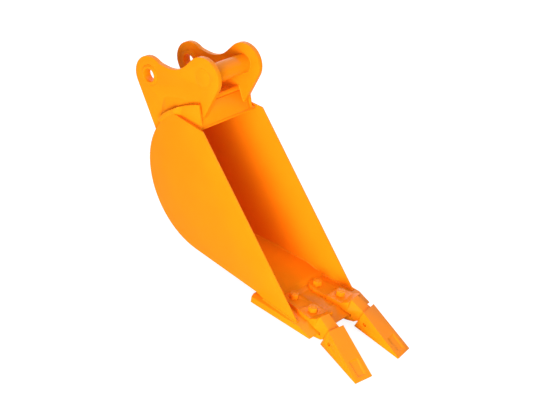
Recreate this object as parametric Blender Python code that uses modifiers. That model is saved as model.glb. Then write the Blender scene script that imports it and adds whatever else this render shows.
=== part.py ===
"""Narrow two-tooth trenching bucket for a small excavator, as a welded body with bolted tooth adapters.

Design frame, before the stance is applied: +X is the digging direction, +Z is up from the flat floor,
and the plane y = 0 is the middle of the bucket. Its origin lies on the underside of the floor, below
the centre of the rolled back. The whole bucket then leans back about Y, so that it rests on its two
tooth tips and its heel, with the origin of the world at the bottom centre of its box.
"""
from math import asin, atan2, cos, degrees, hypot, radians, sin, sqrt, tan

import bmesh
import bpy
from mathutils import Matrix, Vector

# Driving dimensions, in metres and degrees.
FIT_GAP = 0.0003  # left between pieces that touch
ARC_STEP = 5.0  # degrees between the points of a round stretch
MERGE_DISTANCE = 0.000001

MOUTH_WIDTH = 0.230  # over the side plates, at the mouth
BACK_RADIUS = 0.1975  # outside of the rolled back
BACK_ROLL_END = 125.3  # where the roll ends at the top edges, turned from straight ahead
MOUTH_TOP_X = -0.0058
MOUTH_SLOPE = 43.7  # fall of the mouth edge, forwards
SIDE_THICKNESS = 0.005
SIDE_LEAN = 6.05  # each side plate leans in from the mouth edge to the back
SHELL_THICKNESS = 0.006  # floor and back

LIP_WIDTH = 0.244
LIP_THICKNESS = 0.0165
LIP_BACK_X = 0.224
LIP_LENGTH = 0.202
LIP_DROP = 0.0067  # top of the lip below the underside of the floor
LIP_BEVEL = 0.036  # length of the bevel behind the front edge
LIP_EDGE = 0.003  # thickness left at the front edge
LIP_CORNER = (0.006, 0.014)  # clipped off each rear corner, along X and Y
JOGGLE_SET = 0.004  # from the lip's rear edge to where the floor starts to step down
JOGGLE_LENGTH = 0.028
FLOOR_LAP = 0.048  # floor over the lip

TOP_PLATE_DROP = 0.004  # top plate below the top edges of the side plates
TOP_PLATE_THICKNESS = 0.006
TOP_PLATE_SET = 0.018  # front edge behind the top corner of the mouth
CAP_INSET = 0.019  # end caps in from the side plates, measured at the mouth
BOX_WIDTH = MOUTH_WIDTH - 2 * CAP_INSET  # over the end caps
CAP_THICKNESS = 0.006
CAP_FRONT_ANGLE = 111.2
CAP_FOOT_SET = 0.0017  # front corner of the cap's foot behind the front edge of the top plate
COVER_THICKNESS = 0.012
COVER_BACK_ANGLE = 146.0
COVER_BEND_ANGLE = 130.0  # here the cover leaves the rolled back for its own flatter roll
COVER_RADIUS = 0.318
COVER_FRONT_ANGLE = 113.5
FRONT_PLATE_THICKNESS = 0.006
FRONT_PLATE_SLOPE = 59.7
FRONT_PLATE_SET = 0.004  # its foot behind the front edge of the top plate

EAR_INSET = 0.0135  # ears in from the end caps
EAR_SPREAD = BOX_WIDTH - 2 * EAR_INSET  # over the outer faces of the ears
EAR_THICKNESS = 0.0127
REAR_PIN_BACK = 0.0345  # behind the rolled back
REAR_PIN_RISE = 0.0513  # above the top edges
REAR_LOBE_RADIUS = 0.0505
REAR_EDGE_SLOPE = 53.1
PIN_SPREAD = 0.177  # from pin to pin, along X
FRONT_PIN_RISE = 0.068  # above the rear pin
FRONT_LOBE_RADIUS = 0.0534
FRONT_EDGE_SLOPE = 70.4
VALLEY_RISE_OVER_PIN = 0.0443  # bottom of the valley between the lobes, above the rear pin
VALLEY_RADIUS = 0.085
VALLEY_RISE = 53.0
VALLEY_BACK_RADIUS = 0.040
PIN_BORE_RADIUS = 0.0225
BUSH_WALL = 0.005
BUSH_LENGTH = 0.023
BUSH_PROUD = 0.0015  # outside the ear
BAR_RADIUS = 0.025

SPLAY = 7.6  # each tooth points outwards
BOLT_SET = 0.0495  # front bolt behind the lip's front edge
BOLT_INSET = 0.0664  # front bolt in from the lip's end
BOLT_PITCH = 0.0707
STRAP_LENGTH = 0.093  # behind the front bolt
STRAP_THICKNESS = 0.008
STRAP_WIDTH = 0.052
STRAP_END_RADIUS = 0.022
BLOCK_BACK = 0.026  # behind the front bolt
BLOCK_SEAT_HEIGHT = 0.011  # flat seat of the front nut
BLOCK_SEAT_FRONT = 0.021  # ahead of the front bolt, where the block starts to rise to its crease
BLOCK_WIDTH = 0.059
CREASE_AHEAD = 0.041  # top edge of the block, ahead of the front bolt
CREASE_HEIGHT = 0.0225
SHOULDER_WIDTH = 0.030  # flat top left between the shoulders, at the crease
SHOULDER_END_WIDTH = 0.0346  # the same at the tooth
SHOULDER_SLOPE = 60.0
LEG_THICKNESS = 0.0135  # of the adapter's lower leg, under the lip
LEG_BACK = 0.030  # behind the front bolt
LEG_FRONT = 0.061
LEG_CHAMFER = 0.008
CROTCH_GAP = 0.0035  # left ahead of the lip, between the legs
NOSE_WIDTH = 0.038  # where it enters the tooth
NOSE_TIP_WIDTH = 0.031
NOSE_DEPTH = 0.058  # inside the tooth
NOSE_TOP_DROP = (0.0072, 0.014)  # below the tooth's top at the entry, and at the tip
NOSE_ENTRY_SET = 0.008  # lower edge of the nose enters this far along the tooth
NOSE_BOTTOM_DROP = (0.038, 0.027)
TOOTH_AHEAD = 0.0851  # top rear edge of the tooth, ahead of the front bolt
TOOTH_RISE = 0.0117  # the same edge above the lip
TOOTH_PITCH = 33.0
TOOTH_LENGTH = 0.1443
TOOTH_WIDTH = 0.0515  # at the rear
TOOTH_TIP_WIDTH = 0.0565
TOOTH_HEIGHT = 0.0528
TOOTH_HEEL_SET = 0.0129  # lower rear edge ahead of the upper one
TOOTH_TIP = 0.0035
SCOOP_START = 0.088  # shallow hollow in the top of the tooth, from its rear edge
SCOOP_END = 0.134
SCOOP_WIDTH = 0.031
SCOOP_END_WIDTH = 0.027
SCOOP_DEPTH = 0.0025
SCOOP_WALL = 0.004  # width of its sloping sides
TOOTH_PIN_RADIUS = 0.005
TOOTH_PIN_AT = (0.026, 0.0235)  # along the tooth's top, and below it
BOLT_RADIUS = 0.007
BOLT_HEAD_RADIUS = 0.0135
BOLT_HEAD_HEIGHT = 0.008
BOLT_HEAD_RIM = 0.0015
BOLT_STICKS_OUT = 0.001
NUT_FLATS = 0.022
NUT_HEIGHT = 0.013
NUT_CROWN = 30.0  # slope that takes off the upper corners
EDGE_BREAK = 0.001  # chamfer on turned pieces

PAINT = (1.0, 0.36, 0.01, 1.0)
BODY_CENTRE = (0.0, BACK_RADIUS)
BODY_HEIGHT = BACK_RADIUS * (1 + sin(radians(BACK_ROLL_END)))
INNER_WIDTH = MOUTH_WIDTH - 2 * (SIDE_THICKNESS + FIT_GAP)
LIP_TOP = -LIP_DROP
LIP_BOTTOM = LIP_TOP - LIP_THICKNESS
LIP_FRONT_X = LIP_BACK_X + LIP_LENGTH
JOGGLE_START_X = LIP_BACK_X + JOGGLE_SET
JOGGLE_END_X = JOGGLE_START_X + JOGGLE_LENGTH
TOP_PLATE_TOP = BODY_HEIGHT - TOP_PLATE_DROP
TOP_PLATE_FRONT_X = MOUTH_TOP_X - TOP_PLATE_SET
BOX_INNER_WIDTH = BOX_WIDTH - 2 * (CAP_THICKNESS + FIT_GAP)
COVER_OUTER = BACK_RADIUS + FIT_GAP + COVER_THICKNESS
REAR_PIN = (-BACK_RADIUS - REAR_PIN_BACK, BODY_HEIGHT + REAR_PIN_RISE)
FRONT_PIN = (REAR_PIN[0] + PIN_SPREAD, REAR_PIN[1] + FRONT_PIN_RISE)
VALLEY_Z = REAR_PIN[1] + VALLEY_RISE_OVER_PIN
FRONT_BOLT = (LIP_FRONT_X - BOLT_SET, LIP_WIDTH / 2 - BOLT_INSET)
# Heights at an adapter are above its strap's underside.
LIP_UNDERSIDE = -FIT_GAP - LIP_THICKNESS
LEG_UNDERSIDE = LIP_UNDERSIDE - FIT_GAP - LEG_THICKNESS
# Each bolt: its place, its distance ahead of the front one, where its head is flush, and its nut's seat.
BOLTS = (("front", 0.0, LEG_UNDERSIDE, BLOCK_SEAT_HEIGHT),
         ("rear", -BOLT_PITCH, LIP_UNDERSIDE, STRAP_THICKNESS))


# Plane geometry. A point is (x, z).

def on_circle(centre, radius, angle):
    return (centre[0] + radius * cos(radians(angle)), centre[1] + radius * sin(radians(angle)))


def arc(centre, radius, start, end):
    """Points from start to end, in degrees. Inner ones lie on whole steps, so like arcs stay parallel."""
    low, high = sorted((start, end))
    inner = [k * ARC_STEP for k in range(int(low // ARC_STEP), int(high // ARC_STEP) + 2)]
    angles = [low] + [a for a in inner if low + 0.5 < a < high - 0.5] + [high]
    if end < start:
        angles.reverse()
    return [on_circle(centre, radius, a) for a in angles]


def circle(centre, radius):
    return arc(centre, radius, 0.0, 360.0)[:-1]


def along(point, slope, distance):
    return (point[0] + distance * cos(radians(slope)), point[1] + distance * sin(radians(slope)))


def line_to_circle(point, slope, centre, radius):
    """How far along the line from the point it first meets the circle, or last meets it from inside."""
    dx, dz = cos(radians(slope)), sin(radians(slope))
    fx, fz = point[0] - centre[0], point[1] - centre[1]
    b = fx * dx + fz * dz
    c = fx * fx + fz * fz - radius * radius
    root = sqrt(b * b - c)
    return -b - root if c > 0 else -b + root


def strip(path, thickness):
    """The outline of a bent plate: the path, and the path set off to its left by the thickness."""
    offset = []
    for k, (x, z) in enumerate(path):
        ways = []
        for a, b in ((k - 1, k), (k, k + 1)):
            if a >= 0 and b < len(path):
                ways.append(atan2(path[b][1] - path[a][1], path[b][0] - path[a][0]))
        turn = ways[-1] - ways[0]
        turn = atan2(sin(turn), cos(turn))
        way = ways[0] + turn / 2
        reach = thickness / cos(turn / 2)
        offset.append((x - reach * sin(way), z + reach * cos(way)))
    return path + offset[::-1]


def behind_mouth(x, z):
    """Distance of a point behind the line of the mouth edges."""
    slope = radians(MOUTH_SLOPE)
    return (MOUTH_TOP_X - x) * sin(slope) + (BODY_HEIGHT - z) * cos(slope)


def mouth_x(z):
    return MOUTH_TOP_X + (BODY_HEIGHT - z) / tan(radians(MOUTH_SLOPE))


def between(start, end, share):
    """The value this share of the way from start to end, and beyond either with a share outside 0 to 1."""
    return start + (end - start) * share


def tooth_point(along_top, below_top):
    """A point of the tooth's side, as (x, z) in the frame of its adapter."""
    pitch = radians(TOOTH_PITCH)
    return (TOOTH_AHEAD + along_top * cos(pitch) - below_top * sin(pitch),
            TOOTH_RISE - along_top * sin(pitch) - below_top * cos(pitch))


# Building blocks.

def clear_scene():
    for thing in list(bpy.data.objects):
        bpy.data.objects.remove(thing)


def new_collection(name):
    collection = bpy.data.collections.new(name)
    bpy.context.scene.collection.children.link(collection)
    return collection


def finish(name, roughness, metallic, colour=PAINT):
    material = bpy.data.materials.new(name)
    material.use_nodes = True
    shader = material.node_tree.nodes["Principled BSDF"]
    shader.inputs["Base Color"].default_value = colour
    shader.inputs["Roughness"].default_value = roughness
    shader.inputs["Metallic"].default_value = metallic
    material.diffuse_color = colour
    return material


def put(name, mesh, collection, parent=None, material=None):
    thing = bpy.data.objects.new(name, mesh)
    collection.objects.link(thing)
    thing.parent = parent
    if material:
        mesh.materials.append(material)
    return thing


def tidy(mesh):
    shape = bmesh.new()
    shape.from_mesh(mesh)
    bmesh.ops.remove_doubles(shape, verts=shape.verts, dist=MERGE_DISTANCE)
    bmesh.ops.recalc_face_normals(shape, faces=shape.faces)
    shape.to_mesh(mesh)
    shape.free()


def extruded(outlines, width, flat=False):
    """A mesh of one flat outline, with the others as holes: in XZ and this wide along Y, or in XY if flat."""
    curve = bpy.data.curves.new("outline", "CURVE")
    curve.dimensions = "2D"
    curve.fill_mode = "BOTH"
    curve.extrude = width / 2
    for outline in outlines:
        spline = curve.splines.new("POLY")
        spline.points.add(len(outline) - 1)
        for point, (a, b) in zip(spline.points, outline):
            point.co = (a, b, 0.0, 1.0)
        spline.use_cyclic_u = True
    holder = bpy.data.objects.new("outline", curve)
    bpy.context.scene.collection.objects.link(holder)
    graph = bpy.context.evaluated_depsgraph_get()
    mesh = bpy.data.meshes.new_from_object(holder.evaluated_get(graph))
    bpy.data.objects.remove(holder)
    bpy.data.curves.remove(curve)
    if not flat:
        mesh.transform(Matrix.Rotation(radians(90), 4, "X"))
    tidy(mesh)
    return mesh


def revolved(profile, sides=24):
    """A mesh turned about Z from (radius, height) points, which run down the outer side."""
    mesh = bpy.data.meshes.new("profile")
    edges = [(k - 1, k) for k in range(1, len(profile))]
    if profile[0][0] > 0:
        edges.append((len(profile) - 1, 0))
    mesh.from_pydata([(r, 0.0, z) for r, z in profile], edges, [])
    holder = bpy.data.objects.new("profile", mesh)
    bpy.context.scene.collection.objects.link(holder)
    screw = holder.modifiers.new("turn", "SCREW")
    screw.steps = screw.render_steps = sides
    screw.use_merge_vertices = True
    screw.merge_threshold = MERGE_DISTANCE
    graph = bpy.context.evaluated_depsgraph_get()
    turned = bpy.data.meshes.new_from_object(holder.evaluated_get(graph))
    bpy.data.objects.remove(holder)
    tidy(turned)
    return turned


def combine(thing, other, operation):
    other.hide_render = True
    other.display_type = "WIRE"
    modifier = thing.modifiers.new(operation.lower(), "BOOLEAN")
    modifier.operation = operation
    modifier.object = other
    modifier.solver = "EXACT"


def lean_sides(mesh):
    """Moves every point in towards the middle by as much as the side plates lean in there."""
    for vertex in mesh.vertices:
        way = 1 if vertex.co.y > 0 else -1
        vertex.co.y -= way * tan(radians(SIDE_LEAN)) * behind_mouth(vertex.co.x, vertex.co.z)


def round_smooth(thing, angle=30.0):
    thing.data.shade_smooth()
    thing.data.set_sharp_from_angle(angle=radians(angle))


# The welded body.

def back_roll(radius, end_z):
    """The rolled back from the floor up to a height, as an arc."""
    end = 180.0 - degrees(asin((end_z - BACK_RADIUS) / radius))
    return arc(BODY_CENTRE, radius, 270.0, end)


def side_plate(name, way, parts, root, paint):
    lip_z = LIP_TOP + FIT_GAP
    outline = [(mouth_x(lip_z), lip_z), (JOGGLE_END_X, lip_z), (JOGGLE_START_X, 0.0)]
    outline += back_roll(BACK_RADIUS, BODY_HEIGHT) + [(MOUTH_TOP_X, BODY_HEIGHT)]
    mesh = extruded([outline], SIDE_THICKNESS)
    mesh.transform(Matrix.Translation((0, way * (MOUTH_WIDTH - SIDE_THICKNESS) / 2, 0)))
    lean_sides(mesh)
    round_smooth(put(name, mesh, parts, root, paint))


def wrapper(parts, root, paint):
    lip_z = LIP_TOP + FIT_GAP
    path = [(LIP_BACK_X + FLOOR_LAP, lip_z), (JOGGLE_END_X, lip_z), (JOGGLE_START_X, 0.0)]
    path += back_roll(BACK_RADIUS, TOP_PLATE_TOP)
    mesh = extruded([strip(path[::-1], SHELL_THICKNESS)], INNER_WIDTH)
    lean_sides(mesh)
    round_smooth(put("floor_and_back", mesh, parts, root, paint))


def top_plate(parts, root, paint):
    inner = BACK_RADIUS - SHELL_THICKNESS - FIT_GAP
    back_x = -sqrt(inner ** 2 - (TOP_PLATE_TOP - BACK_RADIUS) ** 2)
    under = TOP_PLATE_TOP - TOP_PLATE_THICKNESS
    mesh = extruded([strip([(back_x, under), (TOP_PLATE_FRONT_X, under)], TOP_PLATE_THICKNESS)], INNER_WIDTH)
    lean_sides(mesh)
    put("top_plate", mesh, parts, root, paint)


def cover_roll_centre():
    reach = COVER_OUTER - COVER_RADIUS
    return on_circle(BODY_CENTRE, reach, COVER_BEND_ANGLE)


def cover_surface(lift, front_angle, back_angle=COVER_BACK_ANGLE):
    """The cover's top side from its lower rear end to its front, lifted off it by some distance."""
    rear = arc(BODY_CENTRE, COVER_OUTER + lift, back_angle, COVER_BEND_ANGLE)
    return rear + arc(cover_roll_centre(), COVER_RADIUS + lift, COVER_BEND_ANGLE, front_angle)[1:]


def box_cover(parts, root, paint):
    top = cover_surface(0.0, COVER_FRONT_ANGLE)
    under = cover_surface(-COVER_THICKNESS, COVER_FRONT_ANGLE)
    mesh = extruded([top + under[::-1]], BOX_INNER_WIDTH)
    round_smooth(put("box_cover", mesh, parts, root, paint))


def front_plate_foot():
    """Lower front corner of the box's front plate, which stands on the top plate."""
    return (TOP_PLATE_FRONT_X - FRONT_PLATE_SET, TOP_PLATE_TOP + FIT_GAP)


def box_front_plate(parts, root, paint):
    foot = front_plate_foot()
    slope = 180.0 - FRONT_PLATE_SLOPE
    under_cover = COVER_RADIUS - COVER_THICKNESS - FIT_GAP
    reach = line_to_circle(foot, slope, cover_roll_centre(), under_cover)
    back_foot = (foot[0] - FRONT_PLATE_THICKNESS / sin(radians(FRONT_PLATE_SLOPE)), foot[1])
    back_reach = line_to_circle(back_foot, slope, cover_roll_centre(), under_cover)
    outline = [foot, along(foot, slope, reach), along(back_foot, slope, back_reach), back_foot]
    mesh = extruded([outline], BOX_INNER_WIDTH)
    put("box_front_plate", mesh, parts, root, paint)


def box_end_cap(name, way, parts, root, paint):
    outline = cover_surface(0.0, CAP_FRONT_ANGLE)
    outline += [(TOP_PLATE_FRONT_X - CAP_FOOT_SET, TOP_PLATE_TOP + FIT_GAP)]
    under = back_roll(BACK_RADIUS + FIT_GAP, TOP_PLATE_TOP + FIT_GAP)
    end = degrees(atan2(under[-1][1] - BACK_RADIUS, under[-1][0]))
    outline += arc(BODY_CENTRE, BACK_RADIUS + FIT_GAP, end, COVER_BACK_ANGLE)
    mesh = extruded([outline], CAP_THICKNESS)
    mesh.transform(Matrix.Translation((0, way * (BOX_WIDTH - CAP_THICKNESS) / 2, 0)))
    round_smooth(put(name, mesh, parts, root, paint))


# The ears and what runs between them.

def ear_sole():
    """Underside of an ear: on the rolled back, over the box's cover and down its front plate to the toe."""
    lobe = on_circle(REAR_PIN, REAR_LOBE_RADIUS, 270.0 - REAR_EDGE_SLOPE)
    reach = line_to_circle(lobe, -REAR_EDGE_SLOPE, BODY_CENTRE, BACK_RADIUS + FIT_GAP)
    heel = along(lobe, -REAR_EDGE_SLOPE, reach)
    heel_angle = degrees(atan2(heel[1] - BACK_RADIUS, heel[0]))
    past_cover = degrees(FIT_GAP / BACK_RADIUS)
    sole = arc(BODY_CENTRE, BACK_RADIUS + FIT_GAP, heel_angle, COVER_BACK_ANGLE + past_cover)
    sole += cover_surface(FIT_GAP, COVER_FRONT_ANGLE - past_cover, COVER_BACK_ANGLE + past_cover)
    foot = front_plate_foot()
    face_x = foot[0] + FIT_GAP / sin(radians(FRONT_PLATE_SLOPE))
    plate, edge = tan(radians(FRONT_PLATE_SLOPE)), tan(radians(FRONT_EDGE_SLOPE))
    cover_x, cover_z = sole[-1]
    shoulder_x = max(face_x - (cover_z - COVER_THICKNESS - foot[1]) / plate, cover_x)
    lobe_x, lobe_z = on_circle(FRONT_PIN, FRONT_LOBE_RADIUS, FRONT_EDGE_SLOPE - 90.0)
    toe_x = (foot[1] - lobe_z + face_x * plate + lobe_x * edge) / (plate + edge)
    return sole + [(x, foot[1] + (face_x - x) * plate) for x in (shoulder_x, toe_x)]


def ear_outline():
    rise_angle = 90.0 + VALLEY_RISE
    outline = ear_sole() + arc(FRONT_PIN, FRONT_LOBE_RADIUS, FRONT_EDGE_SLOPE - 90.0, rise_angle)
    rise_x, rise_z = on_circle(FRONT_PIN, FRONT_LOBE_RADIUS, rise_angle)
    slope_foot = VALLEY_Z + VALLEY_RADIUS * (1 - cos(radians(VALLEY_RISE)))
    run = (rise_z - slope_foot) / tan(radians(VALLEY_RISE))
    valley_x = rise_x - run - VALLEY_RADIUS * sin(radians(VALLEY_RISE))
    outline += arc((valley_x, VALLEY_Z + VALLEY_RADIUS), VALLEY_RADIUS, 180.0 + rise_angle, 270.0)
    up = VALLEY_Z + VALLEY_BACK_RADIUS - REAR_PIN[1]
    across = sqrt((REAR_LOBE_RADIUS + VALLEY_BACK_RADIUS) ** 2 - up ** 2)
    blend = degrees(atan2(up, across))
    back_centre = (REAR_PIN[0] + across, VALLEY_Z + VALLEY_BACK_RADIUS)
    outline += arc(back_centre, VALLEY_BACK_RADIUS, 270.0, 180.0 + blend)
    return outline + arc(REAR_PIN, REAR_LOBE_RADIUS, blend, 270.0 - REAR_EDGE_SLOPE)[1:]


def ear(name, way, parts, root, paint):
    bush_hole = circle(REAR_PIN, PIN_BORE_RADIUS + BUSH_WALL + FIT_GAP)
    bar_hole = circle(FRONT_PIN, BAR_RADIUS + FIT_GAP)
    mesh = extruded([ear_outline(), bush_hole, bar_hole], EAR_THICKNESS)
    mesh.transform(Matrix.Translation((0, way * (EAR_SPREAD - EAR_THICKNESS) / 2, 0)))
    round_smooth(put(name, mesh, parts, root, paint))


def pin_bush(name, way, parts, root, paint):
    inner, outer, half = PIN_BORE_RADIUS, PIN_BORE_RADIUS + BUSH_WALL, BUSH_LENGTH / 2
    profile = [(inner, half - EDGE_BREAK), (inner + EDGE_BREAK, half), (outer - EDGE_BREAK, half),
               (outer, half - EDGE_BREAK), (outer, EDGE_BREAK - half), (outer - EDGE_BREAK, -half),
               (inner + EDGE_BREAK, -half), (inner, EDGE_BREAK - half)]
    bush = put(name, revolved(profile, 72), parts, root, paint)
    bush.rotation_euler = (radians(90), 0, 0)
    bush.location = (REAR_PIN[0], way * (EAR_SPREAD / 2 + BUSH_PROUD - half), REAR_PIN[1])
    round_smooth(bush)


def cross_bar(parts, root, paint):
    half = EAR_SPREAD / 2
    profile = [(0.0, half), (BAR_RADIUS - EDGE_BREAK, half), (BAR_RADIUS, half - EDGE_BREAK),
               (BAR_RADIUS, EDGE_BREAK - half), (BAR_RADIUS - EDGE_BREAK, -half), (0.0, -half)]
    bar = put("front_cross_bar", revolved(profile, 72), parts, root, paint)
    bar.rotation_euler = (radians(90), 0, 0)
    bar.location = (FRONT_PIN[0], 0, FRONT_PIN[1])
    round_smooth(bar)


# The lip and what is bolted to it.

def turned_about_y(thing, x, z):
    """Lays a piece turned about Z across the bucket at this place."""
    thing.rotation_euler = (radians(90), 0, 0)
    thing.location = (x, 0, z)


def bolt_profile(length, gap=0.0):
    """A bolt countersunk into a face at height 0. A gap makes it the longer hole that the bolt fits."""
    head, shank = BOLT_HEAD_RADIUS + gap, BOLT_RADIUS + gap
    foot = -LIP_THICKNESS if gap else FIT_GAP
    top = length + LIP_THICKNESS if gap else length
    return [(0.0, top), (shank, top), (shank, BOLT_HEAD_HEIGHT), (head, BOLT_HEAD_RIM),
            (head, foot), (0.0, foot)]


def bolt_holes(side, cutters, station):
    holes = []
    for place, x, base, seat in BOLTS:
        profile = bolt_profile(seat - base, FIT_GAP)
        hole = put("%s_bolt_hole_%s" % (place, side), revolved(profile), cutters, station)
        hole.location = (x, 0, base)
        holes.append(hole)
    return holes


def lip(parts, cutters, root, paint, holes):
    section = [(LIP_BACK_X, LIP_BOTTOM), (LIP_FRONT_X, LIP_BOTTOM), (LIP_FRONT_X, LIP_BOTTOM + LIP_EDGE),
               (LIP_FRONT_X - LIP_BEVEL, LIP_TOP), (LIP_BACK_X, LIP_TOP)]
    plate = put("lip_plate", extruded([section], LIP_WIDTH), parts, root, paint)
    cut_x, cut_y = LIP_CORNER
    end = LIP_WIDTH / 2
    for way, side in ((1, "left"), (-1, "right")):
        corner = [(LIP_BACK_X - cut_x, way * (end - 2 * cut_y)), (LIP_BACK_X + 2 * cut_x, way * (end + cut_y)),
                  (LIP_BACK_X - cut_x, way * (end + cut_y))]
        clip = put("corner_clip_" + side, extruded([corner], 4 * LIP_THICKNESS, flat=True), cutters, root)
        combine(plate, clip, "DIFFERENCE")
    for hole in holes:
        combine(plate, hole, "DIFFERENCE")


def adapter_side():
    """Side of the fork adapter: strap and block above the lip, leg below it, and the nose ahead of them."""
    rise = BLOCK_SEAT_HEIGHT - STRAP_THICKNESS
    inside_lip = LIP_UNDERSIDE / 2
    return [(-STRAP_LENGTH, inside_lip), (-LEG_BACK, inside_lip), (-LEG_BACK, LEG_UNDERSIDE + LEG_CHAMFER),
            (LEG_CHAMFER - LEG_BACK, LEG_UNDERSIDE), (LEG_FRONT, LEG_UNDERSIDE),
            tooth_point(NOSE_ENTRY_SET, NOSE_BOTTOM_DROP[0]), tooth_point(NOSE_DEPTH, NOSE_BOTTOM_DROP[1]),
            tooth_point(NOSE_DEPTH, NOSE_TOP_DROP[1]), tooth_point(0.0, NOSE_TOP_DROP[0]),
            (CREASE_AHEAD, CREASE_HEIGHT), (BLOCK_SEAT_FRONT, BLOCK_SEAT_HEIGHT),
            (rise - BLOCK_BACK, BLOCK_SEAT_HEIGHT),
            (-BLOCK_BACK, STRAP_THICKNESS), (-STRAP_LENGTH, STRAP_THICKNESS)]


def lip_allowance(cutters, root):
    """The lip with clearance, which shapes the seat between the legs of each adapter."""
    low, far = LIP_BOTTOM - FIT_GAP, LIP_FRONT_X + CROTCH_GAP
    section = [(LIP_BACK_X, low), (far, low), (far, LIP_BOTTOM + LIP_EDGE + CROTCH_GAP),
               (LIP_FRONT_X - LIP_BEVEL + FIT_GAP, LIP_TOP + FIT_GAP), (LIP_BACK_X, LIP_TOP + FIT_GAP)]
    return put("lip_allowance", extruded([section], LIP_WIDTH), cutters, root)


def nose_half_width(x):
    entry, tip = tooth_point(0.0, NOSE_TOP_DROP[0])[0], tooth_point(NOSE_DEPTH, NOSE_TOP_DROP[1])[0]
    return between(NOSE_WIDTH, NOSE_TIP_WIDTH, (x - entry) / (tip - entry)) / 2


def adapter_plan():
    """The adapter seen from above: a round rear end, straight sides, and sides that draw in to the nose."""
    rise = BLOCK_SEAT_HEIGHT - STRAP_THICKNESS
    rear = arc((STRAP_END_RADIUS - STRAP_LENGTH, 0.0), STRAP_END_RADIUS, 90.0, 270.0)
    entry = tooth_point(NOSE_ENTRY_SET, NOSE_BOTTOM_DROP[0])[0]
    tip = tooth_point(NOSE_DEPTH, NOSE_TOP_DROP[1])[0] + EDGE_BREAK
    side = [(STRAP_WIDTH / 2 - STRAP_LENGTH, STRAP_WIDTH / 2), (-BLOCK_BACK, STRAP_WIDTH / 2),
            (rise - BLOCK_BACK, BLOCK_WIDTH / 2), (CREASE_AHEAD, BLOCK_WIDTH / 2),
            (entry, nose_half_width(entry)), (tip, nose_half_width(tip))]
    return rear + [(x, -y) for x, y in side] + side[::-1]


def shoulder_cutter(name, way, cutters, station):
    """A prism that takes the upper edge off one side of the nose, between the crease and the tooth."""
    entry_x, entry_z = tooth_point(0.0, NOSE_TOP_DROP[0])
    run = entry_x - CREASE_AHEAD
    edge = (SHOULDER_WIDTH / 2, CREASE_HEIGHT)
    inner = along(edge, 180.0 - SHOULDER_SLOPE, STRAP_THICKNESS)
    outer = along(edge, -SHOULDER_SLOPE, BLOCK_WIDTH)
    mesh = extruded([[inner, outer, (outer[0], inner[1])]], run + STRAP_THICKNESS)
    # stand the section across the adapter, just ahead of the crease, then shear it along the nose's upper edge
    mesh.transform(Matrix.Rotation(radians(90), 4, "Z"))
    start = min(vertex.co.x for vertex in mesh.vertices)
    spread = (SHOULDER_END_WIDTH - SHOULDER_WIDTH) / 2 / run
    fall = (CREASE_HEIGHT - entry_z) / run
    for vertex in mesh.vertices:
        ahead = vertex.co.x - start
        side, height = vertex.co.y + ahead * spread, vertex.co.z - ahead * fall
        vertex.co = (CREASE_AHEAD + FIT_GAP + ahead, way * side, height)
    tidy(mesh)
    return put(name, mesh, cutters, station)


def adapter(side, tools, parts, cutters, station, paint):
    name = "adapter_" + side
    body = put(name, extruded([adapter_side()], 2 * BLOCK_WIDTH), parts, station, paint)
    plan = put(name + "_plan", extruded([adapter_plan()], 8 * TOOTH_HEIGHT, flat=True), cutters, station)
    combine(body, plan, "INTERSECT")
    for tool in tools:
        combine(body, tool, "DIFFERENCE")
    for way, edge in ((1, "_outer_shoulder"), (-1, "_inner_shoulder")):
        combine(body, shoulder_cutter(name + edge, way, cutters, station), "DIFFERENCE")


def pin_hole(side, cutters, station):
    radius, half = TOOTH_PIN_RADIUS + FIT_GAP, TOOTH_TIP_WIDTH
    profile = [(0.0, half), (radius, half), (radius, -half), (0.0, -half)]
    hole = put("tooth_pin_hole_" + side, revolved(profile, 16), cutters, station)
    turned_about_y(hole, *tooth_point(*TOOTH_PIN_AT))
    return hole


def socket(side, cutters, station):
    """The nose with clearance, carried on past the rear of the tooth."""
    back = -TOOTH_HEIGHT
    share = back / NOSE_DEPTH
    low_share = (back - NOSE_ENTRY_SET) / (NOSE_DEPTH - NOSE_ENTRY_SET)
    outline = [tooth_point(back, between(*NOSE_TOP_DROP, share) - FIT_GAP),
               tooth_point(back, between(*NOSE_BOTTOM_DROP, low_share) + FIT_GAP),
               tooth_point(NOSE_DEPTH + FIT_GAP, NOSE_BOTTOM_DROP[1] + FIT_GAP),
               tooth_point(NOSE_DEPTH + FIT_GAP, NOSE_TOP_DROP[1] - FIT_GAP)]
    mesh = extruded([outline], NOSE_WIDTH)
    for vertex in mesh.vertices:
        way = 1 if vertex.co.y > 0 else -1
        vertex.co.y = way * (nose_half_width(vertex.co.x) + FIT_GAP)
    return put("tooth_socket_" + side, mesh, cutters, station)


def scoop(side, cutters, wedge):
    """The shallow hollow in the top of a tooth, with sloping sides."""
    outline = [(SCOOP_START, -SCOOP_WIDTH / 2), (SCOOP_END, -SCOOP_END_WIDTH / 2),
               (SCOOP_END, SCOOP_END_WIDTH / 2), (SCOOP_START, SCOOP_WIDTH / 2)]
    mesh = extruded([outline], 2 * SCOOP_DEPTH, flat=True)
    middle = (SCOOP_START + SCOOP_END) / 2
    for vertex in mesh.vertices:
        spread = SCOOP_WALL if vertex.co.z > 0 else -SCOOP_WALL
        vertex.co.x += spread if vertex.co.x > middle else -spread
        vertex.co.y += spread if vertex.co.y > 0 else -spread
    return put("tooth_scoop_" + side, mesh, cutters, wedge)


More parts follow.
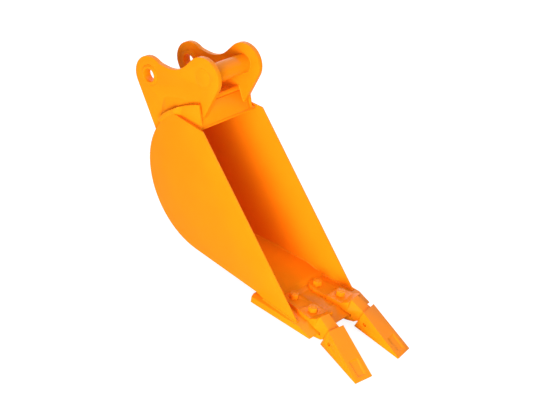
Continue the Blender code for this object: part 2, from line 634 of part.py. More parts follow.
def tooth(side, hole, parts, cutters, station, paint):
    outline = [(0.0, 0.0), (TOOTH_HEEL_SET, -TOOTH_HEIGHT), (TOOTH_LENGTH, -TOOTH_TIP), (TOOTH_LENGTH, 0.0)]
    mesh = extruded([outline], TOOTH_WIDTH)
    for vertex in mesh.vertices:
        vertex.co.y *= between(TOOTH_WIDTH, TOOTH_TIP_WIDTH, vertex.co.x / TOOTH_LENGTH) / TOOTH_WIDTH
    wedge = put("tooth_" + side, mesh, parts, station, paint)
    wedge.location = (TOOTH_AHEAD, 0, TOOTH_RISE)
    wedge.rotation_euler = (0, radians(TOOTH_PITCH), 0)
    for tool in (socket(side, cutters, station), scoop(side, cutters, wedge), hole):
        combine(wedge, tool, "DIFFERENCE")


def tooth_pin(side, parts, station, paint):
    half = TOOTH_WIDTH / 2 - EDGE_BREAK
    profile = [(0.0, half), (TOOTH_PIN_RADIUS, half), (TOOTH_PIN_RADIUS, -half), (0.0, -half)]
    pin = put("tooth_pin_" + side, revolved(profile, 16), parts, station, paint)
    turned_about_y(pin, *tooth_point(*TOOTH_PIN_AT))
    round_smooth(pin)


def bolt_and_nut(bolt_place, side, parts, cutters, station, paint):
    place, x, base, seat = bolt_place
    nut_z = seat + FIT_GAP
    length = nut_z + NUT_HEIGHT + BOLT_STICKS_OUT - base
    bolt = put("plow_bolt_%s_%s" % (place, side), revolved(bolt_profile(length)), parts, station, paint)
    bolt.location = (x, 0, base)
    round_smooth(bolt)
    flat, half = NUT_FLATS / 2, NUT_HEIGHT / 2
    corners = [on_circle((0, 0), flat / cos(radians(30)), 60.0 * k) for k in range(6)]
    bore = [on_circle((0, 0), BOLT_RADIUS + FIT_GAP, 15.0 * k) for k in range(24)]
    prism = extruded([corners, bore], NUT_HEIGHT, flat=True)
    nut = put("nut_%s_%s" % (place, side), prism, parts, station, paint)
    nut.location = (x, 0, nut_z + half)
    drop = flat * tan(radians(NUT_CROWN))
    cone = [(0.0, half + drop), (NUT_FLATS, half - drop), (NUT_FLATS, -NUT_HEIGHT), (0.0, -NUT_HEIGHT)]
    crown = put("nut_crown_%s_%s" % (place, side), revolved(cone, 48), cutters, station)
    crown.location = nut.location
    combine(nut, crown, "INTERSECT")


# Stance: the bucket rests on its tooth tips and on its heel.

def stance():
    """The lean back about Y, and the shift that brings the bottom centre of the box to the world's origin."""
    splay = radians(SPLAY)
    low, high = tooth_point(TOOTH_LENGTH, TOOTH_TIP), tooth_point(TOOTH_LENGTH, 0.0)
    lift = LIP_TOP + FIT_GAP
    corner = TOOTH_TIP_WIDTH / 2 * sin(splay)
    # the lower corner of a tip that is nearer to the heel touches the ground first
    reach = FRONT_BOLT[0] + low[0] * cos(splay) - corner
    drop = BODY_CENTRE[1] - lift - low[1]
    lean = atan2(drop, reach) - asin(BACK_RADIUS / hypot(reach, drop))
    back = REAR_PIN[0] * cos(lean) - REAR_PIN[1] * sin(lean) - REAR_LOBE_RADIUS
    front_x = FRONT_BOLT[0] + high[0] * cos(splay) + corner
    front = front_x * cos(lean) - (lift + high[1]) * sin(lean)
    ground = BODY_CENTRE[1] * cos(lean) - BACK_RADIUS
    return lean, Vector((-(back + front) / 2, 0.0, -ground))


def build():
    clear_scene()
    parts = new_collection("excavator_bucket")
    cutters = new_collection("cutters")
    body_paint = finish("body_paint", 0.45, 0.0)
    ear_paint = finish("ear_paint", 0.45, 0.0)
    lip_paint = finish("lip_paint", 0.5, 0.0)
    tooth_paint = finish("tooth_paint", 0.42, 0.0)
    bolt_paint = finish("bolt_paint", 0.4, 0.0)
    lean, shift = stance()
    root = bpy.data.objects.new("stance", None)
    parts.objects.link(root)
    root.rotation_euler = (0, -lean, 0)
    root.location = shift
    wrapper(parts, root, body_paint)
    top_plate(parts, root, body_paint)
    box_cover(parts, root, body_paint)
    box_front_plate(parts, root, body_paint)
    cross_bar(parts, root, ear_paint)
    seat = lip_allowance(cutters, root)
    all_holes = []
    for side, way in (("left", 1), ("right", -1)):
        side_plate("side_plate_" + side, way, parts, root, body_paint)
        box_end_cap("box_end_cap_" + side, way, parts, root, body_paint)
        ear("ear_" + side, way, parts, root, ear_paint)
        pin_bush("rear_pin_bush_" + side, way, parts, root, ear_paint)
        station = bpy.data.objects.new("tooth_station_" + side, None)
        parts.objects.link(station)
        station.parent = root
        station.location = (FRONT_BOLT[0], way * FRONT_BOLT[1], LIP_TOP + FIT_GAP)
        station.rotation_euler = (0, 0, way * radians(SPLAY))
        holes, hole = bolt_holes(side, cutters, station), pin_hole(side, cutters, station)
        all_holes += holes
        adapter(side, [seat] + holes + [hole], parts, cutters, station, tooth_paint)
        tooth(side, hole, parts, cutters, station, tooth_paint)
        tooth_pin(side, parts, station, bolt_paint)
        for bolt_place in BOLTS:
            bolt_and_nut(bolt_place, side, parts, cutters, station, bolt_paint)
    lip(parts, cutters, root, lip_paint, all_holes)


build()
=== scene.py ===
import math

import bpy
from mathutils import Euler, Matrix, Vector, noise


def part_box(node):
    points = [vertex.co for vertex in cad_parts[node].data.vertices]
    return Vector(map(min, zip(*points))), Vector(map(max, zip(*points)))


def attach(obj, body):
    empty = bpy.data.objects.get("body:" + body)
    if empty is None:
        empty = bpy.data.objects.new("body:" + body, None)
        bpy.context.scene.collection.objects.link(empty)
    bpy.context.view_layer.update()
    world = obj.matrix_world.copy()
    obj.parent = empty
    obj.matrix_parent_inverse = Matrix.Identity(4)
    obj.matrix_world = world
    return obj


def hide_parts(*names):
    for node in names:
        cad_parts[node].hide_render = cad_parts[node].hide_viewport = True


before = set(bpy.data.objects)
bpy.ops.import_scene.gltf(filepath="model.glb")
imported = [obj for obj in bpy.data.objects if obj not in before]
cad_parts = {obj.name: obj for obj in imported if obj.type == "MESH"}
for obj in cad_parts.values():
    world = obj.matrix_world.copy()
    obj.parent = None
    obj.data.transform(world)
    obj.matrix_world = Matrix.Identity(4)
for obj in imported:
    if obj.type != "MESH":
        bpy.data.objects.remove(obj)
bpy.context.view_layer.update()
bpy.ops.object.select_all(action="DESELECT")


# Floor and back. One 6 mm steel plate, rolled to the curve of the back and pressed down onto the lip at its
# front. The whole bucket is sprayed with one coat of satin orange after it is welded, so each piece carries
# the same colour, over the grain of its own steel.
class Wire:
    """An output of a shader tree. A sum, a difference or a product of wires is one more Math node."""

    def __init__(self, board, socket):
        self.board = board
        self.socket = socket

    def maths(self, operation, first, second):
        return self.board.add("ShaderNodeMath", {"operation": operation}, {0: first, 1: second})

    def __add__(self, other):
        return self.maths("ADD", self, other)

    def __radd__(self, other):
        return self.maths("ADD", other, self)

    def __sub__(self, other):
        return self.maths("SUBTRACT", self, other)

    def __rsub__(self, other):
        return self.maths("SUBTRACT", other, self)

    def __mul__(self, other):
        return self.maths("MULTIPLY", self, other)

    def __rmul__(self, other):
        return self.maths("MULTIPLY", other, self)


class Board:
    """The node tree of a material or of the studio, emptied and then filled node by node."""

    def __init__(self, owner):
        owner.use_nodes = True
        self.tree = owner.node_tree
        self.tree.nodes.clear()

    def add(self, kind, settings=None, sockets=None, out=0):
        """Adds a node: first its settings, then the values or wires of its sockets. Gives one output."""
        made = self.tree.nodes.new(kind)
        for name, value in (settings or {}).items():
            setattr(made, name, value)
        for name, value in (sockets or {}).items():
            if isinstance(value, Wire):
                self.tree.links.new(value.socket, made.inputs[name])
            else:
                made.inputs[name].default_value = value
        return Wire(self, made.outputs[out]) if made.outputs else None


DEEP_ORANGE = (0.94, 0.238, 0.003, 1)
FRESH_ORANGE = (1.0, 0.288, 0.005, 1)
SKIN_DEPTH = 0.000012  # of the paint's own fine skin, in metres
LEVEL_FROM = 0.6  # paint levels out on faces that look up at least this much, where 1 is straight up
SHINE = 0.03  # of the paint where it has dried dull
EDGE_ANGLE = 24  # degrees between two faces from which their edge is eased
SMOOTH_ANGLE = 32


def orange(name, roughness, grain_size, grain_depth, waves=0.0, gloss=0.6, haze=0.3):
    """Sprayed satin orange: two close shades in soft clouds, a fine skin, and the grain of the steel below.

    Wet paint levels out to a gloss where it lies flat, and dries duller on upright faces. The grain's size
    and depth and the waves are in metres. Gloss is how much of the level paint shines, and haze how soft.
    """
    paint = bpy.data.materials.new(name)
    board = Board(paint)
    place = board.add("ShaderNodeTexCoord", out="Object")
    clouds = board.add("ShaderNodeTexNoise", {}, {"Vector": place, "Scale": 13.0, "Detail": 3.0})
    specks = board.add("ShaderNodeTexNoise", {}, {"Vector": place, "Scale": 310.0, "Detail": 2.0})
    grain = board.add("ShaderNodeTexNoise", {}, {"Vector": place, "Scale": 0.6 / grain_size, "Detail": 4.0})
    skin = board.add("ShaderNodeTexNoise", {}, {"Vector": place, "Scale": 700.0, "Detail": 1.0})
    beaten = board.add("ShaderNodeTexNoise", {}, {"Vector": place, "Scale": 30.0, "Detail": 1.0})
    share = clouds * 0.75 + specks * 0.25
    colour = board.add("ShaderNodeMix", {"data_type": "RGBA"}, {
        0: share, 6: DEEP_ORANGE, 7: FRESH_ORANGE}, out=2)
    height = grain * grain_depth + skin * SKIN_DEPTH + beaten * waves
    relief = board.add("ShaderNodeBump", {}, {"Strength": 1.0, "Distance": 1.0, "Height": height})
    facing = board.add("ShaderNodeNewGeometry", out="Normal")
    upward = board.add("ShaderNodeSeparateXYZ", {}, {"Vector": facing}, out="Z")
    level = board.add("ShaderNodeMath", {"operation": "MULTIPLY", "use_clamp": True}, {
        0: upward - LEVEL_FROM, 1: 1 / (1 - LEVEL_FROM)})
    surface = board.add("ShaderNodeBsdfPrincipled", {}, {
        "Base Color": colour, "Roughness": clouds * 0.08 + specks * 0.06 + (roughness - 0.07),
        "Normal": relief, "IOR": 1.5, "Specular IOR Level": SHINE,
        "Coat Weight": level * gloss, "Coat Roughness": haze, "Coat IOR": 1.5})
    board.add("ShaderNodeOutputMaterial", {}, {"Surface": surface})
    return paint


def rounded(name, edge, paint, steps=2, reshape=None):
    """A painted copy of a CAD piece, with its edges eased by this much.

    Before that its merged mesh goes through reshape, for pieces that were dressed or drilled by hand.
    """
    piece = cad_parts[name].copy()
    piece.data = piece.data.copy()
    piece.name = name + "_painted"
    piece.parent = None
    piece.matrix_world = Matrix.Identity(4)
    bpy.context.scene.collection.objects.link(piece)
    bpy.ops.object.select_all(action="DESELECT")
    piece.select_set(True)
    bpy.context.view_layer.objects.active = piece
    bpy.ops.mesh.customdata_custom_splitnormals_clear()
    bpy.ops.object.mode_set(mode="EDIT")
    bpy.ops.mesh.select_all(action="SELECT")
    bpy.ops.mesh.remove_doubles(threshold=0.00002)
    bpy.ops.mesh.dissolve_limited(angle_limit=math.radians(0.5))
    bpy.ops.object.mode_set(mode="OBJECT")
    if reshape:
        reshape(piece)
    easing = piece.modifiers.new("easing", "BEVEL")
    easing.width = edge
    easing.segments = steps
    easing.limit_method = "ANGLE"
    easing.angle_limit = math.radians(EDGE_ANGLE)
    bpy.ops.object.modifier_apply(modifier="easing")
    bpy.ops.object.shade_smooth_by_angle(angle=math.radians(SMOOTH_ANGLE))
    piece.data.materials[0] = paint
    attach(piece, "root")
    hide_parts(name)
    return piece


plate_paint = orange("plate_orange", 0.40, 0.004, 0.00003, 0.0002)
floor_paint = orange("floor_orange", 0.46, 0.004, 0.00003, 0.0002, gloss=0.0)
rounded("floor_and_back", 0.0008, floor_paint)


# Side plates. Two flat 5 mm plates, flame cut along the curve of the back and leaning in towards it. They
# are welded to the rolled plate on both sides, outside with a flat bead and inside with a fillet.
def lie_level():
    """Turns the world back into the bucket's upright frame, with its origin on the axis of the roll."""
    lip_top = max(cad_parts["lip_plate"].data.polygons, key=lambda face: face.area * face.normal.z)
    turned = Matrix.Rotation(math.atan2(-lip_top.normal.x, lip_top.normal.z), 4, "Y")
    lip_back = min((turned @ vertex.co).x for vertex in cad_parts["lip_plate"].data.vertices)
    shell = [turned @ vertex.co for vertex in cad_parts["floor_and_back"].data.vertices]
    rear = min(shell, key=lambda point: point.x)
    radius = rear.z - min(point.z for point in shell if point.x < lip_back)
    return Matrix.Translation((-rear.x - radius, 0, -rear.z)) @ turned, radius


upright, back_radius = lie_level()
standing = upright.inverted()


def corners(name, keep):
    """Corners of a CAD piece in the upright frame, on faces that pass a test, from its rear to its front."""
    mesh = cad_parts[name].data
    found = {}
    for face in mesh.polygons:
        normal = upright.to_3x3() @ face.normal
        for index in face.vertices:
            point = upright @ mesh.vertices[index].co
            if keep(point, normal):
                found[tuple(round(value, 5) for value in point)] = point
    return sorted(found.values(), key=lambda point: -(math.atan2(point.z, point.x) % math.tau))


def outwards(point):
    """Straight away from the axis of the roll, or straight down where the floor runs flat."""
    return Vector((point.x, 0, point.z)).normalized() if point.x < 0 else Vector((0, 0, -1))


RIPPLE = 0.0035  # between the ripples of a weld
RIPPLE_PARTS = 4  # points of a bead's path in each ripple


def bead(name, path, radius, closed=False):
    """A weld bead along a path in the upright frame: a rippled run of weld metal, a little uneven."""
    run = [Vector(point) for point in path] + ([Vector(path[0])] if closed else [])
    spots = []
    for start, end in zip(run, run[1:]):
        count = max(1, round((end - start).length / (RIPPLE / RIPPLE_PARTS)))
        spots += [start.lerp(end, step / count) for step in range(count)]
    if not closed:
        spots.append(run[-1])
    curve = bpy.data.curves.new(name, "CURVE")
    curve.dimensions = "3D"
    curve.bevel_depth = radius
    curve.bevel_resolution = 3
    curve.use_fill_caps = True
    line = curve.splines.new("POLY")
    line.points.add(len(spots) - 1)
    line.use_cyclic_u = closed
    for index, (point, spot) in enumerate(zip(line.points, spots)):
        point.co = (*(standing @ spot), 1.0)
        ripple = abs(math.sin(math.pi * index / RIPPLE_PARTS))
        uneven = noise.noise(spot * 90 + Vector((radius * 900, 0, 0)))
        point.radius = 0.93 + 0.07 * ripple + 0.07 * uneven
    piece = bpy.data.objects.new(name, curve)
    bpy.context.scene.collection.objects.link(piece)
    bpy.ops.object.select_all(action="DESELECT")
    piece.select_set(True)
    bpy.context.view_layer.objects.active = piece
    bpy.ops.object.convert(target="MESH")
    piece = bpy.context.object
    bpy.ops.object.shade_smooth()
    piece.data.materials.clear()
    piece.data.materials.append(weld_paint)
    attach(piece, "root")
    return piece


ROW_STEP = 0.0012  # between the rows of a fillet's mesh
FACE_STEPS = 4  # across its dressed face
FACE_RIPPLE = 0.00008  # depth of the short ripples left in that face
FACE_UNEVEN = 0.0002


def fillet(name, corner, first, second, bulge=0.0):
    """A dressed weld that fills a corner from one edge line to another. The three lines have equal counts.

    It starts as a flat grid, which is rolled up along the lines into a three-sided bar.
    """
    spans = list(zip(corner, first, second))
    rows = []
    for start, end in zip(spans, spans[1:]):
        count = max(1, round((end[0] - start[0]).length / ROW_STEP))
        rows += [[a.lerp(b, step / count) for a, b in zip(start, end)] for step in range(count)]
    rows.append(spans[-1])
    around = FACE_STEPS + 2
    bpy.ops.object.select_all(action="DESELECT")
    bpy.ops.mesh.primitive_grid_add(
        x_subdivisions=len(rows) - 1, y_subdivisions=around, size=1, calc_uvs=False)
    piece = bpy.context.object
    piece.name = name
    for vertex in piece.data.vertices:
        index = round((vertex.co.x + 0.5) * (len(rows) - 1))
        step = round((vertex.co.y + 0.5) * around) - 1
        inner, low, high = rows[index]
        place = inner
        if 0 <= step <= FACE_STEPS:
            away = ((low + high) / 2 - inner).normalized()
            uneven = FACE_RIPPLE * math.sin(index * 1.8) + FACE_UNEVEN * noise.noise(inner * 60)
            swell = math.sin(math.pi * step / FACE_STEPS)
            place = low.lerp(high, step / FACE_STEPS) + away * swell * (bulge + uneven)
        vertex.co = standing @ place
    bpy.ops.object.mode_set(mode="EDIT")
    bpy.ops.mesh.select_mode(type="VERT")
    bpy.ops.mesh.select_all(action="SELECT")
    bpy.ops.mesh.remove_doubles(threshold=0.000001)
    bpy.ops.mesh.fill_holes(sides=around)
    bpy.ops.mesh.select_all(action="SELECT")
    bpy.ops.mesh.normals_make_consistent(inside=False)
    bpy.ops.object.mode_set(mode="OBJECT")
    bpy.ops.object.shade_smooth_by_angle(angle=math.radians(40))
    piece.data.materials.append(weld_paint)
    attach(piece, "root")
    return piece


SEAM_RADIUS = 0.0026  # of the seam outside, which lies sunk between the plates
SEAM_SUNK = 0.0028
SEAM_PROUD = 0.0006  # less sunk by this, but for where it drags over the ground
SEAM_WORN = 0.03  # height up to which it is more and more worn
SEAM_INSET = 0.0005
INNER_LEG = 0.0025  # of the fillets inside
INNER_HOLLOW = 0.0003

weld_paint = orange("weld_orange", 0.42, 0.0012, 0.00002)
for side, way in (("left", 1), ("right", -1)):
    rounded("side_plate_" + side, 0.0012, plate_paint)
    seam = corners("floor_and_back", lambda p, n: p.y * way > 0 and n.dot(outwards(p)) > 0.7)
    flat = []
    for point in seam:
        clear = min(1.0, max(0.0, (standing @ point).z / SEAM_WORN))
        lift = SEAM_PROUD * clear - SEAM_SUNK
        flat.append(point + outwards(point) * lift - Vector((0, way * SEAM_INSET, 0)))
    bead("back_seam_" + side, flat, SEAM_RADIUS)
    inside = corners("floor_and_back", lambda p, n: p.y * way > 0 and n.dot(outwards(p)) < -0.7)
    along_plate = [point - outwards(point) * INNER_LEG for point in inside]
    along_shell = [point - Vector((0, way * INNER_LEG, 0)) for point in inside]
    fillet("inner_corner_weld_" + side, inside, along_plate, along_shell, -INNER_HOLLOW)


# Top plate. A flat 6 mm strip between the side plates, which closes the back and carries the box. It is
# welded in a little below their top edges.
rounded("top_plate", 0.001, plate_paint)


# Box. A rolled 12 mm cover, a leaning front plate and two end caps are welded up into a stiff hollow box on
# the top plate, which spreads the pull of the ears over the back.
BOX_LIFT = 0.0065  # the front of the box is drawn up by this between the ears
LIFT_CUTS = (0.074, 0.078)  # from the middle to where the lift ends, at the ears
LIFT_FROM, LIFT_TO = 130.0, 113.5  # it grows from the cover's bend to its front, turned from straight ahead
LIFT_ABOVE = 0.83  # of the back's radius, above its axis
SILL_COVERED = 0.0006  # over the edge of the top plate
RAMP = 0.016  # the end cap comes in from the side plate over this length
CAP_WELD = 0.0026
CAP_SEAM = (0.0040, 0.0038)  # radius of the flush seam at the rear of the cap, and how far it is sunk
COVER_END_WELD = 0.0045


def drawn_up(point):
    """Where a point of the box between the ears ends up: its front edge rises, its bent rear stays."""
    share = (math.radians(LIFT_FROM) - math.atan2(point.z, point.x)) / math.radians(LIFT_FROM - LIFT_TO)
    if abs(point.y) > sum(LIFT_CUTS) / 2 or point.z < back_radius * LIFT_ABOVE:
        share = 0
    return point + outwards(point) * BOX_LIFT * min(1, max(0, share))


def draw_up(piece):
    """Cuts a piece of the box at the ears and lifts the front of what lies between them."""
    bpy.ops.object.mode_set(mode="EDIT")
    for cut in LIFT_CUTS:
        for across in (-cut, cut):
            bpy.ops.mesh.select_all(action="SELECT")
            bpy.ops.mesh.bisect(plane_co=(0, across, 0), plane_no=(0, 1, 0))
    bpy.ops.object.mode_set(mode="OBJECT")
    for vertex in piece.data.vertices:
        vertex.co = standing @ drawn_up(upright @ vertex.co)


def draw_down(piece):
    """Lifts the front plate too, and runs its foot down over the edge of the top plate, ground flush."""
    draw_up(piece)
    foot = min(corners("box_front_plate", lambda p, n: n.x > 0.6), key=lambda p: p.z)
    sill = min(corners("top_plate", lambda p, n: n.x > 0.9), key=lambda p: p.z)
    for vertex in piece.data.vertices:
        point = upright @ vertex.co
        if math.hypot(point.x - foot.x, point.z - foot.z) < 0.001:
            vertex.co = standing @ Vector((sill.x + SILL_COVERED, point.y, sill.z + SILL_COVERED))


def plate_face(outline):
    """The outer face of a side plate, as the distance across the bucket at a place on it."""
    first, last = outline[0], outline[-1]
    middle = max(outline, key=lambda p: (p - first).cross(last - first).length)
    normal = (middle - first).cross(last - first)
    return lambda x, z: first.y - (normal.x * (x - first.x) + normal.z * (z - first.z)) / normal.y


rounded("box_cover", 0.0015, plate_paint, reshape=draw_up)
rounded("box_front_plate", 0.001, plate_paint, reshape=draw_down)
for side, way in (("left", 1), ("right", -1)):
    outline = corners("side_plate_" + side, lambda p, n: n.y * way > 0.9)
    face_at = plate_face(outline)
    plate_top = max(p.z for p in outline)
    roll_end = min(p.x for p in outline if p.z > plate_top - 0.001)
    cap_face = max(abs(corner[1]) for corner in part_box("box_end_cap_" + side))

    def bring_out(piece):
        """Brings the rear of the end cap out flush with the side plate, where the two are welded smooth."""
        bpy.ops.object.mode_set(mode="EDIT")
        for along in (roll_end, roll_end + RAMP):
            bpy.ops.mesh.select_all(action="SELECT")
            bpy.ops.mesh.bisect(plane_co=standing @ Vector((along, 0, 0)),
                                plane_no=standing.to_3x3() @ Vector((1, 0, 0)))
        bpy.ops.object.mode_set(mode="OBJECT")
        for vertex in piece.data.vertices:
            point = upright @ vertex.co
            if abs(point.y) > cap_face - 0.0001 and point.x < roll_end + 0.0001:
                vertex.co.y = face_at(point.x, point.z)

    rounded("box_end_cap_" + side, 0.001, plate_paint, reshape=bring_out)
    foot = corners("box_end_cap_" + side,
                   lambda p, n: n.y * way > 0.9 and math.hypot(p.x, p.z) < back_radius + 0.001)
    toe = max(foot, key=lambda p: p.x)
    bead("end_cap_weld_" + side, [Vector((roll_end + RAMP / 2, toe.y, toe.z)), toe], CAP_WELD)
    seam_radius, seam_sunk = CAP_SEAM
    smooth = [Vector((p.x, face_at(p.x, p.z) - way * seam_sunk, p.z)) for p in foot if p.x < roll_end]
    bead("end_cap_seam_" + side, smooth, seam_radius)
cover_end = corners("box_cover", lambda p, n: math.hypot(p.x, p.z) < back_radius + 0.001)
bead("cover_end_weld", cover_end[:2], COVER_END_WELD)


# Ears. Two half inch plates, flame cut and dressed along their edges, stand over the box and run down the
# back. They are welded on both faces.
SOLE_BELOW = 0.024  # the foot of an ear's faces lies within this of the rolled back
EAR_WELD = 0.0026
LEDGE_FILLED = -0.062  # behind this the ledge between ear and end cap is filled with weld
LEDGE_TAPER = 0.085  # length over which the filling grows to its full width
LEDGE_RISE = 0.040  # how far it then runs up the ear
LEDGE_LEAST = 0.002
LEDGE_END = 10.0  # degrees of the back over which it runs out again at its rear
LEDGE_PROUD = 0.0008
LEDGE_BITE = 0.001  # into the ear and the cover

ear_paint = orange("ear_orange", 0.40, 0.003, 0.00003, 0.0001)
for side, way in (("left", 1), ("right", -1)):
    rounded("ear_" + side, 0.0016, ear_paint, steps=3)
    for face, turn in (("outer", way), ("inner", -way)):
        sole = corners("ear_" + side,
                       lambda p, n: n.y * turn > 0.9 and math.hypot(p.x, p.z) < back_radius + SOLE_BELOW)
        if face == "inner":
            sole = [drawn_up(point) for point in sole]
        bead("ear_%s_weld_%s" % (face, side), sole, EAR_WELD)
    ear_low, ear_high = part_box("ear_" + side)
    ear_outer = ear_high[1] if way > 0 else ear_low[1]
    ledge = [p for p in corners("box_cover", lambda p, n: n.y * way > 0.9)
             if math.hypot(p.x, p.z) > back_radius + 0.001 and p.x < LEDGE_FILLED]
    shares = [min(1, (LEDGE_FILLED - p.x) / LEDGE_TAPER) for p in ledge]
    turns = [math.degrees(math.atan2(p.z, p.x)) for p in ledge]
    rises = [LEDGE_LEAST + LEDGE_RISE * share * min(1, (max(turns) - turn) / LEDGE_END)
             for share, turn in zip(shares, turns)]
    root = [Vector((p.x, ear_outer - way * LEDGE_BITE, p.z)) - outwards(p) * LEDGE_BITE for p in ledge]
    up_ear = [q + outwards(p) * rise for p, q, rise in zip(ledge, root, rises)]
    over_ledge = [q.lerp(p, share) + outwards(p) * LEDGE_PROUD for p, q, share in zip(ledge, root, shares)]
    fillet("ledge_weld_" + side, root, up_ear, over_ledge)


# Bushes and cross bar. Turned steel rings in the rear lobes take the stick's pin, and a solid bar through
# the front lobes is what a hook grabs. Both are pressed through and welded round, and each bush holds a
# hardened sleeve that stands a little proud.
SLEEVE_BORE = 0.0180
SLEEVE_OUTER = 0.0243
SLEEVE_PROUD = 0.0025  # outside the bush
SLEEVE_EDGE = 0.0012
BAR_EDGE = 0.0030
BAR_WELD = 0.0016  # between the ears
BAR_END_WELD = (0.0022, 0.0016)  # outside, its radius and how far it is sunk
BAR_END_ARC = (110, 375)  # degrees from straight ahead: the groove above and ahead is left open
BUSH_WELD = 0.0022
RING_STEP = 5  # degrees between the points of a round bead

turned_paint = orange("turned_orange", 0.34, 0.0015, 0.00001, gloss=0.5, haze=0.12)


def ring_bead(name, centre, radius, across, size, start=0, end=360):
    """A weld bead round a bar or a bush, from one angle to another, at one distance across the bucket."""
    middle = upright @ Vector(centre)
    closed = end - start == 360
    turns = [math.radians(turn) for turn in range(start, end + (not closed), RING_STEP)]
    path = [(middle.x + radius * math.cos(turn), across, middle.z + radius * math.sin(turn))
            for turn in turns]
    bead(name, path, size, closed)


rounded("front_cross_bar", BAR_EDGE, turned_paint)
bar_low, bar_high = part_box("front_cross_bar")
bar_radius = (bar_high[2] - bar_low[2]) / 2
bar_middle = [(low + high) / 2 for low, high in zip(bar_low, bar_high)]
for side, way in (("left", 1), ("right", -1)):
    rounded("rear_pin_bush_" + side, 0.0004, turned_paint)
    ear_low, ear_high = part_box("ear_" + side)
    ear_outer, ear_inner = (ear_high[1], ear_low[1]) if way > 0 else (ear_low[1], ear_high[1])
    ring_bead("bar_weld_" + side, bar_middle, bar_radius, ear_inner, BAR_WELD)
    end_size, end_sunk = BAR_END_WELD
    ring_bead("bar_end_weld_" + side, bar_middle, bar_radius, ear_outer - way * end_sunk, end_size,
              start=BAR_END_ARC[0], end=BAR_END_ARC[1])
    bush_low, bush_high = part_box("rear_pin_bush_" + side)
    bush_middle = [(low + high) / 2 for low, high in zip(bush_low, bush_high)]
    bush_radius = (bush_high[2] - bush_low[2]) / 2
    ring_bead("bush_weld_" + side, bush_middle, bush_radius, ear_inner, BUSH_WELD)
    bpy.ops.object.select_all(action="DESELECT")
    bpy.ops.mesh.primitive_cylinder_add(
        vertices=72, radius=SLEEVE_OUTER, depth=bush_high[1] - bush_low[1] + SLEEVE_PROUD,
        location=(bush_middle[0], bush_middle[1] + way * SLEEVE_PROUD / 2, bush_middle[2]),
        rotation=(math.radians(90), 0, 0))
    sleeve = bpy.context.object
    sleeve.name = "pin_sleeve_" + side
    bpy.ops.object.transform_apply(location=True, rotation=True, scale=True)
    bpy.ops.object.mode_set(mode="EDIT")
    bpy.ops.mesh.select_mode(type="FACE")
    bpy.ops.mesh.select_all(action="DESELECT")
    bpy.ops.object.mode_set(mode="OBJECT")
    for face in sleeve.data.polygons:
        face.select = abs(face.normal.y) > 0.9
    bpy.ops.object.mode_set(mode="EDIT")
    bpy.ops.mesh.inset(thickness=SLEEVE_OUTER - SLEEVE_BORE, use_individual=True)
    bpy.ops.mesh.bridge_edge_loops()
    bpy.ops.mesh.select_all(action="SELECT")
    bpy.ops.mesh.normals_make_consistent(inside=False)
    bpy.ops.object.mode_set(mode="OBJECT")
    easing = sleeve.modifiers.new("easing", "BEVEL")
    easing.width = SLEEVE_EDGE
    easing.segments = 2
    easing.angle_limit = math.radians(40)
    bpy.ops.object.modifier_apply(modifier="easing")
    bpy.ops.object.shade_smooth_by_angle(angle=math.radians(SMOOTH_ANGLE))
    sleeve.data.materials.append(turned_paint)
    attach(sleeve, "root")


# Lip. A thick wear plate, wider than the body, with a long bevel ground at its front. The floor laps over it
# and the side plates stand on it, all welded round.
LIP_WELD = 0.0030
FLOOR_RAMP = 0.013  # length of the dressed weld from the floor's front edge down to the lip
FLOOR_RAMP_SWELL = 0.0004

lip_paint = orange("lip_orange", 0.42, 0.004, 0.00005, 0.0002)
rounded("lip_plate", 0.0012, lip_paint)
for side, way in (("left", 1), ("right", -1)):
    for face, turn in (("outer", way), ("inner", -way)):
        foot = corners("side_plate_" + side,
                       lambda p, n: n.y * turn > 0.9 and p.z < -back_radius - 0.005)
        bead("lip_%s_weld_%s" % (face, side), foot, LIP_WELD)
front_edge = sorted(corners("floor_and_back", lambda p, n: n.x > 0.9 and p.x > 0), key=lambda p: p.z)
low_edge = sorted(front_edge[:2], key=lambda p: p.y)
high_edge = sorted(front_edge[2:], key=lambda p: p.y)
on_lip = [p + Vector((FLOOR_RAMP, 0, 0)) for p in low_edge]
ramp = fillet("floor_front_weld", low_edge, high_edge, on_lip, FLOOR_RAMP_SWELL)
ramp.data.materials[0] = floor_paint


# Adapters and teeth. Cast forks, bolted over the lip with two plow bolts each, and forged wedges that slide
# on their noses and are held by a driven pin. Castings are left as cast, teeth are smoother.
ROOT_HOLE = 0.0042  # radius of the relief in the fork's root
ROOT_HOLE_AT = (0.0020, 0.0015)  # ahead of the lip's front edge, and above it
PIN_SUNK = 0.0045  # each end of a tooth pin below the face of the tooth


def relieve_root(piece):
    """Drills the root of the fork across, just ahead of the lip's front edge."""
    edge = [upright @ vertex.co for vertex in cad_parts["lip_plate"].data.vertices]
    nose = max(edge, key=lambda p: p.x)
    bpy.ops.object.select_all(action="DESELECT")
    ahead, above = ROOT_HOLE_AT
    bpy.ops.mesh.primitive_cylinder_add(
        vertices=20, radius=ROOT_HOLE, depth=0.5, rotation=(math.radians(90), 0, 0),
        location=standing @ Vector((nose.x + ahead, 0, nose.z + above)))
    drill = bpy.context.object
    cut = piece.modifiers.new("root", "BOOLEAN")
    cut.operation = "DIFFERENCE"
    cut.object = drill
    bpy.ops.object.select_all(action="DESELECT")
    piece.select_set(True)
    bpy.context.view_layer.objects.active = piece
    bpy.ops.object.modifier_apply(modifier="root")
    bpy.data.objects.remove(drill)


def sink_ends(piece):
    """Shortens a tooth pin at both ends."""
    middle = sum((vertex.co for vertex in piece.data.vertices), Vector()) / len(piece.data.vertices)
    for vertex in piece.data.vertices:
        vertex.co.y -= math.copysign(PIN_SUNK, vertex.co.y - middle.y)


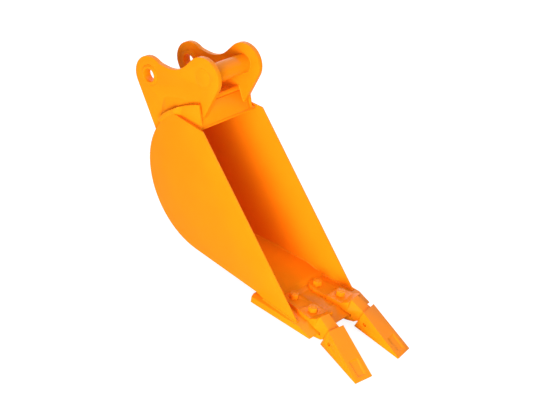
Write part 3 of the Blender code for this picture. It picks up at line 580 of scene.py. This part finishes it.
cast_paint = orange("cast_orange", 0.42, 0.0022, 0.00010, 0.0002)
tooth_paint = orange("tooth_orange", 0.36, 0.003, 0.00004, 0.0002)
bolt_paint = orange("bolt_orange", 0.34, 0.0015, 0.00001)
for side in ("left", "right"):
    rounded("adapter_" + side, 0.0013, cast_paint, reshape=relieve_root)
    rounded("tooth_" + side, 0.0012, tooth_paint)
    rounded("tooth_pin_" + side, 0.0006, bolt_paint, reshape=sink_ends)
    for place in ("front", "rear"):
        rounded("plow_bolt_%s_%s" % (place, side), 0.0005, bolt_paint)
        rounded("nut_%s_%s" % (place, side), 0.0007, bolt_paint)


# Studio. One broad low lamp in front and to the right does most of the work. Weak ones above, before the
# mouth and behind lift what it leaves dark, and a dim white room fills the rest. The floor keeps a faint
# shadow.
AIM = (0, 0, 0.2)
ROOM_LIGHT = 0.39
FLOOR_RADIUS = 6
FLOOR_DROP = 0.0008  # below the lowest point of the bucket


def mirrored_or_seen(board):
    """1 for rays from the camera and for mirrored or refracted ones, to which the room looks white."""
    seen = board.add("ShaderNodeLightPath", out="Is Camera Ray")
    mirrored = board.add("ShaderNodeLightPath", out="Is Glossy Ray")
    through = board.add("ShaderNodeLightPath", out="Is Transmission Ray")
    return board.add("ShaderNodeMath", {"operation": "ADD", "use_clamp": True}, {
        0: seen, 1: mirrored + through})


room = bpy.data.worlds.new("studio")
bpy.context.scene.world = room
walls = Board(room)
dim = walls.add("ShaderNodeBackground", {}, {"Color": (1, 1, 1, 1), "Strength": ROOM_LIGHT})
white = walls.add("ShaderNodeBackground", {}, {"Color": (1, 1, 1, 1), "Strength": 1.0})
shown = walls.add("ShaderNodeMixShader", {}, {0: mirrored_or_seen(walls), 1: dim, 2: white})
walls.add("ShaderNodeOutputWorld", {}, {"Surface": shown})

for name, place, size, power in (("low_front_lamp", (1.78, -3.18, 0.66), 2.0, 216),
                                 ("top_lamp", (0.2, 0.3, 3.2), 2.4, 12),
                                 ("mouth_lamp", (1.9, -1.1, 1.7), 1.4, 12),
                                 ("back_lamp", (-2.3, 2.4, 1.3), 2.2, 70)):
    glow = bpy.data.lights.new(name, "AREA")
    glow.energy = power
    glow.size = size
    lamp = bpy.data.objects.new(name, glow)
    bpy.context.scene.collection.objects.link(lamp)
    lamp.location = place
    lamp.rotation_euler = (Vector(AIM) - lamp.location).to_track_quat("-Z", "Y").to_euler()
    lamp.visible_glossy = name == "low_front_lamp"

bpy.ops.object.select_all(action="DESELECT")
bpy.ops.mesh.primitive_circle_add(vertices=96, radius=FLOOR_RADIUS, fill_type="NGON",
                                  location=(0, 0, -FLOOR_DROP))
floor = bpy.context.object
floor.name = "studio_floor"
pale = bpy.data.materials.new("pale_floor")
chalk = Board(pale)
plain = chalk.add("ShaderNodeBsdfDiffuse", {}, {"Color": (0.45, 0.45, 0.45, 1)})
shaded = chalk.add("ShaderNodeBsdfDiffuse", {}, {"Color": (0.35, 0.35, 0.35, 1)})
bright = chalk.add("ShaderNodeEmission", {}, {"Color": (1, 1, 1, 1), "Strength": 0.87})
seen_floor = chalk.add("ShaderNodeAddShader", {}, {0: shaded, 1: bright})
floor_face = chalk.add("ShaderNodeMixShader", {}, {0: mirrored_or_seen(chalk), 1: plain, 2: seen_floor})
chalk.add("ShaderNodeOutputMaterial", {}, {"Surface": floor_face})
floor.data.materials.append(pale)


# Camera. It stands in front of the bucket on its right side and looks down into the mouth.
lens = bpy.data.cameras.new("camera")
lens.lens = 96.643
lens.sensor_width = 36
camera = bpy.data.objects.new("camera", lens)
bpy.context.scene.collection.objects.link(camera)
camera.location = (1.58367, -2.50194, 2.32487)
camera.rotation_euler = Euler([math.radians(turn) for turn in (53.1534, -13.3067, 42.2949)])
bpy.context.scene.camera = camera
bpy.context.scene.view_settings.view_transform = "Standard"
